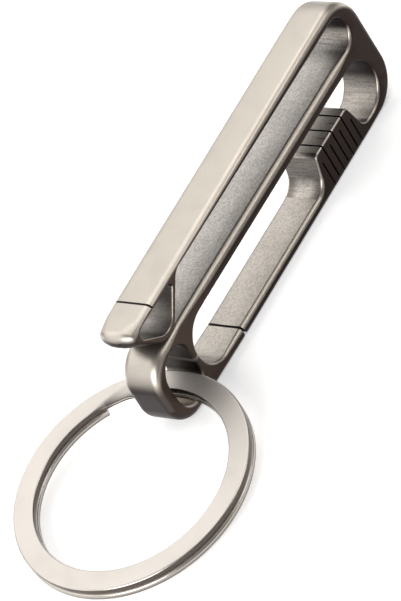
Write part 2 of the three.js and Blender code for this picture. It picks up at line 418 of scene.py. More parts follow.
@dataclass(frozen=True)
class RingSteel:
    """Stainless strip, its flats brushed round the ring and pale, its rounded edges smooth.

    The edges are painted brown as painted shade, but the upper half of the lower turn's edge gets
    a painted highlight. Where the strip steps from turn to turn its edge gets no highlight, and the
    painted shade runs onto its flat near the inner side.
    """

    name: str = "ring_steel"
    tone: Colour = (0.60, 0.565, 0.525)
    dull_tone: Colour = (0.515, 0.485, 0.45)
    edge_tone: Colour = (0.055, 0.039, 0.033)
    lower_turn_highlight_tone: Colour = (0.44, 0.405, 0.37)
    flat_roughness: float = 0.50
    edge_roughness: float = 0.25
    bump_depth: float = 1.6e-6
    centre: Point = (0.0, 0.0, 0.0)
    turn: Point = (0.0, 0.0, 0.0)
    lines_per_metre: float = 12000.0
    lines_detail: float = 2.0
    lines_rough: float = 0.6
    grain: Pattern = Pattern((7000.0, 7000.0, 7000.0), 3.0, 0.6)
    cloud: Pattern = Pattern((180.0, 180.0, 180.0), 3.0, 0.55)

    # How far a surface faces along the ring's axis, from 0 to 1
    flat_start: Span = (0.75, 0.98)
    edge_end: Span = (0.25, 0.75)

    # Depth of the painted edge highlight and where the step lies, in metres from the ring's centre
    edge_highlight_start: Span = (-0.00080, -0.00020)
    edge_highlight_end: Span = (-0.00008, 0.00006)
    past_free_end: Span = (0.0, 0.0004)
    beside_eye: Span = (0.002, 0.004)
    step_shade_r: Span = (0.0129, 0.0139)

    # Which part of a pattern dulls the steel, and shares of each pattern in the finish; the edge
    # and step shares are painted shade
    lines_span: Span = (0.3, 0.75)
    cloud_span: Span = (0.4, 0.75)
    grain_span: Span = (0.4, 0.8)
    lines_share: float = 0.4
    cloud_share: float = 0.35
    grain_share: float = 0.2
    edge_share: float = 0.87
    edge_grain_share: float = 0.12
    step_shade_share: float = 0.6
    rough_spread: float = 0.08
    lines_relief: float = 0.6
    grain_relief: float = 0.4

    def make(self) -> bpy.types.Material:
        """Build the material.

        Returns:
            The finished material.
        """
        sheet = ShaderSheet(self.name)
        place = sheet.node("ShaderNodeTexCoord", output="Object")
        turned = {"Vector": place, "Location": self.centre, "Rotation": self.turn}
        level = sheet.node("ShaderNodeMapping", {"vector_type": "TEXTURE"}, turned)
        along, aside, depth = sheet.parts(level)
        flat_place = sheet.stretched(level, (1.0, 1.0, 0.0))
        measure = {"operation": "LENGTH"}
        radius = sheet.node("ShaderNodeVectorMath", measure, {0: flat_place}, output="Value")
        upright = abs(sheet.parts(sheet.node("ShaderNodeTexCoord", output="Normal"))[2])
        flat = upright.ramp(self.flat_start)
        brushed = {"W": radius * self.lines_per_metre, "Scale": 1.0}
        brushed |= {"Detail": self.lines_detail, "Roughness": self.lines_rough}
        lines = sheet.node("ShaderNodeTexNoise", {"noise_dimensions": "1D"}, brushed)
        grain, cloud = (sheet.noise(place, pattern) for pattern in (self.grain, self.cloud))
        dull = flat * lines.ramp(self.lines_span) * self.lines_share
        dull = dull + cloud.ramp(self.cloud_span) * self.cloud_share
        dull = dull + grain.ramp(self.grain_span) * self.grain_share
        colour = sheet.blend_colour(dull, self.tone, self.dull_tone)
        # Where the strip steps from turn to turn, the edge gets no painted highlight.
        stepped = (along - aside).ramp(self.past_free_end) * aside.ramp(self.beside_eye)
        # Painted highlight on the upper half of the lower turn's edge.
        edge_highlight = (depth.ramp(self.edge_highlight_start) - depth.ramp(self.edge_highlight_end)) * (1.0 - stepped)
        edge_shade_and_highlight = sheet.blend_colour(edge_highlight, self.edge_tone, self.lower_turn_highlight_tone)
        # Edges that don't face along the ring's axis are painted dark as painted shade, varied by
        # grain.
        edge = upright.fall(self.edge_end) * (self.edge_share + self.edge_grain_share * grain)
        # Painted shade spreads onto the stepped flat near the inner side.
        edge = edge + (1.0 - edge) * stepped * radius.fall(self.step_shade_r) * self.step_shade_share
        rough = self.edge_roughness + flat * (self.flat_roughness - self.edge_roughness)
        rough = rough + self.rough_spread * (grain - 0.5) + self.rough_spread * (cloud - 0.5)
        relief = flat * lines * self.lines_relief + grain * self.grain_relief
        return sheet.surface(
            {
                "Base Color": sheet.blend_colour(edge, colour, edge_shade_and_highlight),
                "Metallic": 1.0,
                "Roughness": rough,
                "Normal": sheet.bump(relief, self.bump_depth),
            }
        )


@dataclass(frozen=True)
class PaleFloor:
    """Matt pale board with a trace of paper tooth, which the eye and the metal see as white."""

    name: str = "pale_board"
    tone: Colour = (0.93, 0.925, 0.915)
    low_tone: Colour = (0.90, 0.895, 0.885)
    lift: Colour = (0.38, 0.385, 0.395)
    roughness: float = 0.9
    tooth: Pattern = Pattern((40.0, 40.0, 40.0), 3.0, 0.6)

    def make(self) -> bpy.types.Material:
        """Build the material.

        Returns:
            The finished material.
        """
        sheet = ShaderSheet(self.name)
        tooth = sheet.noise(sheet.node("ShaderNodeTexCoord", output="Object"), self.tooth)
        rays = ("Is Camera Ray", "Is Glossy Ray", "Is Transmission Ray")
        camera, glossy, through = (sheet.node("ShaderNodeLightPath", output=ray) for ray in rays)
        seen = (camera + glossy + through).ramp((0.0, 1.0))
        return sheet.surface(
            {
                "Base Color": sheet.blend_colour(tooth, self.tone, self.low_tone),
                "Roughness": self.roughness,
                "Emission Color": sheet.blend_colour(seen, BLACK, self.lift),
                "Emission Strength": 1.0,
            }
        )


@dataclass(frozen=True)
class Corner:
    """A corner of an outline in the plate's plan, in millimetres from the eye.

    The corner is rounded in plan with its radius. The plate's rim there is rounded over by edge in
    plan, and by deep through the thickness where that differs. Its back rim is rounded over by back
    where that differs.
    """

    x: float
    z: float
    radius: float
    edge: float
    deep: float = 0.0
    back: float = 0.0


class MeshTools:
    """Small steps that the pieces share."""

    @staticmethod
    def prism(bm: bmesh.types.BMesh, plan: Sequence[Plan], half_depth: float = 5.0) -> None:
        """Add a prism through the plate.

        Args:
            bm: The mesh that gets it.
            plan: Its corners in X and Z.
            half_depth: How far it reaches to either side of the plate's middle.
        """
        verts = [bmesh.ops.create_vert(bm, co=(x, -half_depth, z))["vert"][0] for x, z in plan]
        pairs = zip(verts, verts[1:] + verts[:1])
        edges = [bmesh.ops.contextual_create(bm, geom=list(pair))["edges"][0] for pair in pairs]
        face = bmesh.ops.contextual_create(bm, geom=edges)["faces"][0]
        swept = bmesh.ops.extrude_face_region(bm, geom=[face], use_keep_orig=True)
        moved = [v for v in swept["geom"] if isinstance(v, bmesh.types.BMVert)]
        bmesh.ops.translate(bm, verts=moved, vec=(0.0, 2.0 * half_depth, 0.0))

    @staticmethod
    def prisms(plans: Sequence[Sequence[Plan]]) -> bpy.types.Mesh:
        """Make one mesh of several prisms that stand apart from each other.

        Args:
            plans: Each prism's corners in X and Z.

        Returns:
            The mesh, with its faces outwards.
        """
        bm = bmesh.new()
        for plan in plans:
            MeshTools.prism(bm, plan)
        bmesh.ops.recalc_face_normals(bm, faces=bm.faces)
        return MeshTools.written(bm, "prisms")

    @staticmethod
    def bar(low_x: float, high_x: float, low_z: float, high_z: float) -> list[Plan]:
        """Return the plan of an upright bar."""
        return [(low_x, low_z), (high_x, low_z), (high_x, high_z), (low_x, high_z)]

    @staticmethod
    def written(bm: bmesh.types.BMesh, name: str) -> bpy.types.Mesh:
        """Write a bmesh to a new mesh and free it.

        Args:
            bm: The bmesh.
            name: The new mesh's name.

        Returns:
            The new mesh.
        """
        mesh = bpy.data.meshes.new(name)
        bm.to_mesh(mesh)
        bm.free()
        return mesh

    @staticmethod
    def sliced(
        mesh: bpy.types.Mesh, low_x: float, high_x: float, pitch: float
    ) -> bmesh.types.BMesh:
        """Return a mesh with cross cuts along X.

        Args:
            mesh: The mesh to cut, which stays as it is.
            low_x: Where the first cut lies.
            high_x: The cuts stop short of this place.
            pitch: Their distance.

        Returns:
            The cut mesh, still in one body.
        """
        bm = bmesh.new()
        bm.from_mesh(mesh)
        for number in range(math.ceil((high_x - low_x) / pitch)):
            everything = bm.verts[:] + bm.edges[:] + bm.faces[:]
            x = low_x + number * pitch
            bmesh.ops.bisect_plane(
                bm, geom=everything, dist=SAME_PLACE, plane_co=(x, 0, 0), plane_no=(1, 0, 0)
            )
        return bm

    @staticmethod
    def divided(mesh: bpy.types.Mesh, cutter: bpy.types.Mesh, cut: Cut) -> bpy.types.Mesh:
        """Divide a mesh by another one.

        Args:
            mesh: The mesh to divide, which stays as it is.
            cutter: The closed mesh that divides it.
            cut: Which side is kept.

        Returns:
            The new mesh.
        """
        body = bpy.data.objects.new("divided", mesh)
        tool = bpy.data.objects.new("cutter", cutter)
        for obj in (body, tool):
            bpy.context.scene.collection.objects.link(obj)
        modifier = body.modifiers.new("cut", "BOOLEAN")
        modifier.operation = cut.value
        modifier.solver = "EXACT"
        modifier.object = tool
        depsgraph = bpy.context.evaluated_depsgraph_get()
        result = bpy.data.meshes.new_from_object(body.evaluated_get(depsgraph))
        for obj in (body, tool):
            bpy.data.objects.remove(obj)
        return result

    @staticmethod
    def piece(
        name: str, mesh: bpy.types.Mesh, material: bpy.types.Material, slot: Slot
    ) -> bpy.types.Object:
        """Make a finished piece at the origin.

        Args:
            name: The piece's name.
            mesh: Its mesh, in metres in the row's frame.
            material: Its finish.
            slot: Not used.

        Returns:
            The object, smooth-shaded with its flats kept flat.
        """
        mesh.name = name
        mesh.materials.clear()
        mesh.materials.append(material)
        mesh.shade_smooth()
        mesh.set_sharp_from_angle(angle=SHARP_ANGLE)
        obj = bpy.data.objects.new(name, mesh)
        bpy.context.scene.collection.objects.link(obj)
        weighted = obj.modifiers.new("flat_faces", "WEIGHTED_NORMAL")
        weighted.keep_sharp = True
        weighted.weight = FACE_WEIGHT
        log.info("%s: %d faces", name, len(mesh.polygons))
        return obj


class RimLayers(NamedTuple):
    """Layers that carry what a vertex of the rim needs from row to row.

    Edge, deep and back are the rim's sizes there, and turn is how far its row has turned from the
    broad face to the wall. The others are the vertex's place in the plan and the direction into the
    metal.
    """

    edge: Layer
    deep: Layer
    back: Layer
    turn: Layer
    plan_x: Layer
    plan_z: Layer
    in_x: Layer
    in_z: Layer


@dataclass
class PlateBlank:
    """The plate before it is slit: its outline, three holes, and an unevenly rounded rim."""

    thickness: float = 5.7
    rim_rows: int = 6
    outline: Sequence[Corner] = (
        Corner(-5.85, 0.0, 3.8, 1.00, 1.10),
        Corner(2.0, 0.0, 0.0, 0.70),
        Corner(9.0, 0.0, 0.0, 0.50),
        Corner(44.0, 0.0, 0.0, 0.50),
        Corner(52.3, 0.0, 5.15, 0.65),
        Corner(52.3, 17.6, 5.0, 1.05),
        Corner(44.0, 17.4307, 0.0, 0.98, 0.90),
        Corner(8.0, 16.6962, 0.0, 0.50, 0.95),
        Corner(-2.0, 16.4922, 0.0, 0.52, 0.95),
        Corner(-7.5, 16.38, 1.23, 0.95, 2.20),
        Corner(0.54, 10.01, 2.9, 0.30),
        Corner(6.18, 15.97, 2.0, 0.20),
        Corner(44.0, 15.97, 0.0, 0.24),
        Corner(49.475, 15.97, 2.535, 0.34),
        Corner(49.475, 10.9, 2.535, 0.44),
        Corner(44.0, 10.9, 0.0, 1.00, 0.85, 0.25),
        Corner(9.0, 10.9, 0.0, 0.95, 0.82, 0.25),
        Corner(2.0, 10.9, 0.0, 0.45, 0.75, 0.25),
        Corner(-5.85, 10.9, 4.4, 1.05, 1.30),
    )
    opening: Sequence[Corner] = (
        Corner(2.1, 1.4, 3.8, 0.42),
        Corner(10.0, 1.4, 0.0, 0.70, 0.60),
        Corner(30.0, 1.4, 0.0, 0.66, 0.58),
        Corner(32.43, 1.4, 2.4, 0.50),
        Corner(33.9, 6.0, 0.8, 0.28),
        Corner(42.3, 6.0, 0.7, 0.28),
        Corner(43.57, 1.4, 1.6, 0.30),
        Corner(49.55, 1.4, 3.8, 0.36),
        Corner(49.55, 9.0, 3.8, 0.36),
        Corner(42.0, 9.0, 0.0, 0.50),
        Corner(8.0, 9.0, 0.0, 0.50),
        Corner(2.1, 9.0, 3.8, 0.42),
    )
    eye: Sequence[Corner] = (
        Corner(-3.95, 1.45, 2.6, 0.52),
        Corner(1.15, 1.45, 2.4, 0.38, 0.0, 0.10),
        Corner(1.15, 9.4, 2.0, 0.36, 0.0, 0.10),
        Corner(-3.95, 9.4, 3.05, 0.52),
    )
    tip_hole: Sequence[Corner] = (
        Corner(-4.92, 15.75, 0.85, 0.20),
        Corner(0.6, 10.95, 2.2, 0.18),
        Corner(5.08, 15.75, 0.5, 0.18),
    )

    def build(self) -> bpy.types.Mesh:
        """Build the closed blank.

        Returns:
            Its mesh, in millimetres in the plate's plan.
        """
        bm = bmesh.new()
        rims = RimLayers(*(bm.verts.layers.float.new(name) for name in RimLayers._fields))
        front_edges = []
        for number, corners in enumerate((self.outline, self.opening, self.eye, self.tip_hole)):
            loop = self._trace(bm, corners, rims)
            self._aim_inwards(loop, rims, hole=number > 0)
            front_edges += self._raise_rim(bm, loop, rims)
        bmesh.ops.triangle_fill(bm, use_beauty=True, edges=front_edges)
        everything = bm.verts[:] + bm.edges[:] + bm.faces[:]
        bmesh.ops.mirror(bm, geom=everything, axis="Y", merge_dist=SAME_PLACE)
        for vert in bm.verts:
            if vert.co.y > TOUCHING:
                self._round_over(vert, rims, back=True)
        bmesh.ops.recalc_face_normals(bm, faces=bm.faces)
        return MeshTools.written(bm, "plate_blank")

    def _trace(
        self, bm: bmesh.types.BMesh, corners: Sequence[Corner], rims: RimLayers
    ) -> list[bmesh.types.BMVert]:
        """Trace an outline with its corners rounded.

        Args:
            bm: The mesh that gets the wire.
            corners: The outline's corners in order.
            rims: The rim's layers.

        Returns:
            The wire's vertices in order.
        """
        loop: list[bmesh.types.BMVert] = []
        neighbours = zip(corners[-1:] + corners[:-1], corners[1:] + corners[:1])
        for corner, (before, after) in zip(corners, neighbours):
            here = Vector((corner.x, 0.0, corner.z))
            back = (Vector((before.x, 0.0, before.z)) - here).normalized()
            ahead = (Vector((after.x, 0.0, after.z)) - here).normalized()
            half = back.angle(ahead) / 2.0
            start = here + back * (corner.radius / math.tan(half))
            first = bmesh.ops.create_vert(bm, co=start)["vert"][0]
            first[rims.edge], first[rims.deep] = corner.edge, corner.deep or corner.edge
            first[rims.back] = corner.back
            arc = [first]
            if corner.radius > 0.0:
                centre = here + (back + ahead).normalized() * (corner.radius / math.sin(half))
                turn = math.pi - 2.0 * half
                axis = (-back).cross(ahead).normalized()
                steps = max(LEAST_ARC_STEPS, math.ceil(turn / ARC_STEP))
                step = {"cent": centre, "axis": axis, "angle": turn / steps}
                for _ in range(steps):
                    spun = bmesh.ops.spin(bm, geom=[arc[-1]], steps=1, use_merge=False, **step)
                    arc += [v for v in spun["geom_last"] if isinstance(v, bmesh.types.BMVert)]
            if loop:
                bmesh.ops.contextual_create(bm, geom=[loop[-1], first])
            loop += arc
        bmesh.ops.contextual_create(bm, geom=[loop[-1], loop[0]])
        pairs = zip(loop, loop[1:] + loop[:1])
        doubles = {b: a for a, b in pairs if (a.co - b.co).length < TOUCHING}
        kept = [vert for vert in loop if vert not in doubles]
        bmesh.ops.weld_verts(bm, targetmap=doubles)
        return kept

    def _aim_inwards(self, loop: list[bmesh.types.BMVert], rims: RimLayers, hole: bool) -> None:
        """Store each vertex's plan position and the direction into the metal.

        Args:
            loop: The wire's vertices in order.
            rims: The rim's layers.
            hole: Whether the metal lies outside the wire.
        """
        area = sum(a.co.x * b.co.z - b.co.x * a.co.z for a, b in zip(loop, loop[1:] + loop[:1]))
        side = math.copysign(1.0, area) * (-1.0 if hole else 1.0)
        for vert, before, after in zip(loop, loop[-1:] + loop[:-1], loop[1:] + loop[:1]):
            arriving = (vert.co - before.co).normalized()
            leaving = (after.co - vert.co).normalized()
            along = (arriving + leaving).normalized()
            mitre = max(LEAST_MITRE, along.dot(leaving))
            inward = Vector((-along.z, 0.0, along.x)) * (side / mitre)
            vert[rims.plan_x], vert[rims.plan_z] = vert.co.x, vert.co.z
            vert[rims.in_x], vert[rims.in_z] = inward.x, inward.z

    def _raise_rim(
        self, bm: bmesh.types.BMesh, loop: list[bmesh.types.BMVert], rims: RimLayers
    ) -> list[bmesh.types.BMEdge]:
        """Extrude the rounded rim and half the wall from a wire.

        Args:
            bm: The mesh.
            loop: The wire's vertices in order.
            rims: The rim's layers.

        Returns:
            The edges of the front face's border.
        """
        border = [bm.edges.get((a, b)) for a, b in zip(loop, loop[1:] + loop[:1])]
        edges, verts = border, loop
        for row in range(self.rim_rows + 2):
            turn = min(row / self.rim_rows, 1.0) * math.pi / 2.0
            if row:
                swept = bmesh.ops.extrude_edge_only(bm, edges=edges)["geom"]
                edges = [e for e in swept if isinstance(e, bmesh.types.BMEdge)]
                verts = [v for v in swept if isinstance(v, bmesh.types.BMVert)]
            for vert in verts:
                vert[rims.turn] = turn
                self._round_over(vert, rims, back=False)
                if row > self.rim_rows:
                    vert.co.y = 0.0
        return border

    def _round_over(self, vert: bmesh.types.BMVert, rims: RimLayers, back: bool) -> None:
        """Put a vertex where the rounded rim has it.

        Args:
            vert: The vertex.
            rims: The rim's layers.
            back: Whether it belongs to the back rim.
        """
        edge, deep, own_back, turn, x, z, in_x, in_z = (vert[layer] for layer in rims)
        if back and own_back:
            edge = deep = own_back
        inset = edge * (1.0 - math.sin(turn))
        depth = self.thickness / 2.0 - deep * (1.0 - math.cos(turn))
        vert.co = (x + in_x * inset, depth if back else -depth, z + in_z * inset)


@dataclass(frozen=True)
class Bend:
    """A short strip of the plate that bends between two members, in the plate's plan."""

    name: str
    members: tuple[str, str]
    start: Plan
    end: Plan
    plan: Sequence[Plan]

    def dress(self, mesh: bpy.types.Mesh, finish: bpy.types.Material) -> None:
        """Make the strip into a piece in place, and hide its second member's part.

        Args:
            mesh: The strip's mesh.
            finish: The plate's finish.
        """
        obj = MeshTools.piece(f"{self.name}_metal", mesh, finish, Slot.TITANIUM)
        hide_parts(self.members[1])
        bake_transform(obj)


@dataclass
class ClipPlate:
    """The plate's members: frame, clip arm, clip tip, the folded spring's leaves and the gate."""

    blank: PlateBlank = field(default_factory=PlateBlank)

    # Slots and slits, and where the members bend, in millimetres in the plate's plan
    folds_each_side: int = 3
    fold_pitch: float = 1.27
    fold_middle_x: float = 38.17
    fold_width: float = 0.26
    fold_bend: float = 0.24
    fold_up_to: Sequence[float] = (4.2, 4.95, 4.95, 4.3)
    fold_down_to: float = 0.6
    block_top_z: float = 6.0
    gate_side_z: float = 7.5
    gap_x: float = 9.7
    gap_width: float = 0.35
    eye_slit_z: float = 5.32
    eye_slit_width: float = 0.5
    tip_slit_x: float = 0.2
    tip_slit_width: float = 0.3
    arm_root_x: float = 45.0
    arm_bend_end_x: float = 7.0
    strip_angle: float = math.radians(47.0)
    strip_cut: Plan = (3.82, 13.97)
    strip_bend: float = 0.7
    nose_end_x: float = -5.29
    nose_corner_r: float = 1.5
    nose_cut_pitch: float = 0.1
    arm_cut_pitch: float = 2.0
    arm_middle_z: float = 16.7
    fold_middle_z: float = 3.0

    # Limits of the cutting shapes, some of which lie well clear of the plate
    clear_x: float = -12.0
    clear_low_z: float = -2.0
    clear_high_z: float = 20.0
    slit_clearance: float = 1.0
    gap_flare: Sequence[Plan] = ((1.1, -1.0), (0.3, 0.1), (0.0, 0.5))
    gap_top_z: float = 2.4
    eye_slit_x: Span = (0.0, 4.1)
    tip_slit_z: Span = (15.0, 19.0)
    tip_slit_start_z: float = 15.2
    tip_low_z: float = 11.0
    clip_border: Sequence[Plan] = ((5.5, 11.02), (8.0, 13.4))
    strip_sides: Span = (-0.8, 1.1)

    def fold_places(self) -> list[float]:
        """Return the places of the seven folds along X, from the top end down."""
        most = self.folds_each_side
        return [self.fold_middle_x + n * self.fold_pitch for n in range(most, -most - 1, -1)]

    def slits(self) -> list[list[Plan]]:
        """Plan everything that is cut through the blank.

        Returns:
            The plans of the fold slots, the gate's gap, the eye's slit and the tip's slit.
        """
        half = self.fold_width / 2.0
        plans = []
        for number, x in enumerate(self.fold_places()):
            low, high = self.fold_down_to, self.block_top_z + self.slit_clearance
            if number % 2 == 0:
                low, high = -self.slit_clearance, self.fold_up_to[number // 2]
            plans.append(MeshTools.bar(x - half, x + half, low, high))
        near, far = self.gap_x - self.gap_width / 2.0, self.gap_x + self.gap_width / 2.0
        flare = [(far + out, z) for out, z in self.gap_flare]
        plans.append([(near, flare[0][1]), *flare, (far, self.gap_top_z), (near, self.gap_top_z)])
        half, z = self.eye_slit_width / 2.0, self.eye_slit_z
        plans.append(MeshTools.bar(*self.eye_slit_x, z - half, z + half))
        half, x = self.tip_slit_width / 2.0, self.tip_slit_x
        plans.append(MeshTools.bar(x - half, x + half, *self.tip_slit_z))
        return plans

    def clip_region(self) -> list[Plan]:
        """Plan what bends with the clip.

        Returns:
            The plan's corners.
        """
        left, root, top = self.clear_x, self.arm_root_x, self.clear_high_z
        low, high = self.clip_border[0][1], self.clip_border[-1][1]
        return [(left, low), *self.clip_border, (root, high), (root, top), (left, top)]

    def strip_point(self, along: float, across: float) -> Plan:
        """Find a point of the plan from the middle of the strip that the tip hangs on.

        Args:
            along: How far the point lies toward the arm.
            across: How far it lies out of the tip's hole.

        Returns:
            The point.
        """
        x, z = self.strip_cut
        run, rise = math.cos(self.strip_angle), math.sin(self.strip_angle)
        return (x + along * run + across * rise, z + along * rise - across * run)

    def tip_region(self, along: float) -> list[Plan]:
        """Plan the tip as far as a line across the strip that it hangs on.

        Args:
            along: How far that line lies toward the arm from the strip's middle.

        Returns:
            The plan's corners.
        """
        inside, outside = (self.strip_point(along, side) for side in self.strip_sides)
        left, top, low = self.clear_x, self.clear_high_z, self.tip_low_z
        slit = [(self.tip_slit_x, self.tip_slit_start_z), (self.tip_slit_x, top)]
        return [(left, low), (outside[0], low), outside, inside, *slit, (left, top)]

    def bends(self) -> list[Bend]:
        """Plan the strips that bend.

        Returns:
            One strip at each fold, and the one that the tip hangs on.
        """
        folds = self.fold_places()
        chain = ["frame", *(f"gate_leaf_{number}" for number in range(1, len(folds))), "gate"]
        half, z = self.fold_bend / 2.0, self.fold_middle_z
        found = []
        for number, (x, pair) in enumerate(zip(folds, zip(chain, chain[1:])), start=1):
            plan = self._gate_bar(x - half, x + half)
            found.append(Bend(f"gate_fold_{number}", pair, (x + half, z), (x - half, z), plan))
        half = self.strip_bend / 2.0
        inner, outer = self.strip_sides
        corners = (half, outer), (half, inner), (-half, inner), (-half, outer)
        plan = [self.strip_point(*corner) for corner in corners]
        ends = self.strip_point(half, 0.0), self.strip_point(-half, 0.0)
        return [*found, Bend("clip_strip", ("clip_arm", "clip_tip"), *ends, plan)]

    def _gate_bar(self, low_x: float, high_x: float) -> list[Plan]:
        """Return the plan of a bar across the gate's side of the plate."""
        return MeshTools.bar(low_x, high_x, self.clear_low_z, self.gate_side_z)

    def build(self) -> dict[str, bpy.types.Mesh]:
        """Cut the blank into its members and bending strips.

        Returns:
            Their meshes by name, in metres in the row's frame.
        """
        whole = MeshTools.divided(self.blank.build(), MeshTools.prisms(self.slits()), Cut.TAKE_AWAY)
        folds = self.fold_places()
        clip = MeshTools.prisms([self.clip_region()])
        half = self.strip_bend / 2.0
        past_strip, before_strip = (
            MeshTools.prisms([self.tip_region(along)]) for along in (half, -half)
        )
        half = self.fold_bend / 2.0
        sprung = MeshTools.prisms([self._gate_bar(self.gap_x, folds[0] + half)])
        members = {}
        rest = MeshTools.divided(whole, sprung, Cut.TAKE_AWAY)
        members["frame"] = MeshTools.divided(rest, clip, Cut.TAKE_AWAY)
        bending = MeshTools.divided(whole, clip, Cut.KEEP_INSIDE)
        members["clip_arm"] = self._ribbed(MeshTools.divided(bending, past_strip, Cut.TAKE_AWAY))
        members["clip_tip"] = self._nosed(MeshTools.divided(whole, before_strip, Cut.KEEP_INSIDE))
        for number, (high, low) in enumerate(zip(folds, folds[1:]), start=1):
            leaf = MeshTools.prisms([self._gate_bar(low + half, high - half)])
            members[f"gate_leaf_{number}"] = MeshTools.divided(whole, leaf, Cut.KEEP_INSIDE)
        blade = MeshTools.prisms([self._gate_bar(self.gap_x, folds[-1] - half)])
        members["gate"] = MeshTools.divided(whole, blade, Cut.KEEP_INSIDE)
        for bend in self.bends():
            strip = MeshTools.prisms([bend.plan])
            members[bend.name] = MeshTools.divided(whole, strip, Cut.KEEP_INSIDE)
        for mesh in members.values():
            mesh.transform(TO_ROW)
        return members

    def _ribbed(self, mesh: bpy.types.Mesh) -> bpy.types.Mesh:
        """Return the arm's mesh cut across along its length."""
        bm = MeshTools.sliced(mesh, self.arm_bend_end_x, self.arm_root_x, self.arm_cut_pitch)
        return MeshTools.written(bm, "clip_arm")

    def _nosed(self, mesh: bpy.types.Mesh) -> bpy.types.Mesh:
        """Round the corners of the tip's nose as seen from above.

        Args:
            mesh: The tip's mesh, which stays as it is.

        Returns:
            The rounded mesh.
        """
        start = self.nose_end_x + self.nose_corner_r
        pitch = self.nose_cut_pitch
        bm = MeshTools.sliced(mesh, self.nose_end_x + pitch, start + TOUCHING, pitch)
        half = self.blank.thickness / 2.0
        for vert in bm.verts:
            past = min(max(start - vert.co.x, 0.0), self.nose_corner_r)
            width = half - self.nose_corner_r + math.sqrt(self.nose_corner_r**2 - past**2)
            vert.co.y *= width / half
        return MeshTools.written(bm, "clip_tip")

    def dress(self, members: dict[str, bpy.types.Mesh], finish: bpy.types.Material) -> None:
        """Make the members into pieces, attached to their bodies but for the clip arm and the
        strips.

        Args:
            members: The meshes by name.
            finish: The plate's finish.
        """
        for bend in self.bends():
            bend.dress(members.pop(bend.name), finish)
        for node, mesh in members.items():
            obj = MeshTools.piece(f"{node}_metal", mesh, finish, Slot.TITANIUM)
            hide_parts(node)
            if node == "clip_arm":
                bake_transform(obj)
            else:
                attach(obj, node)


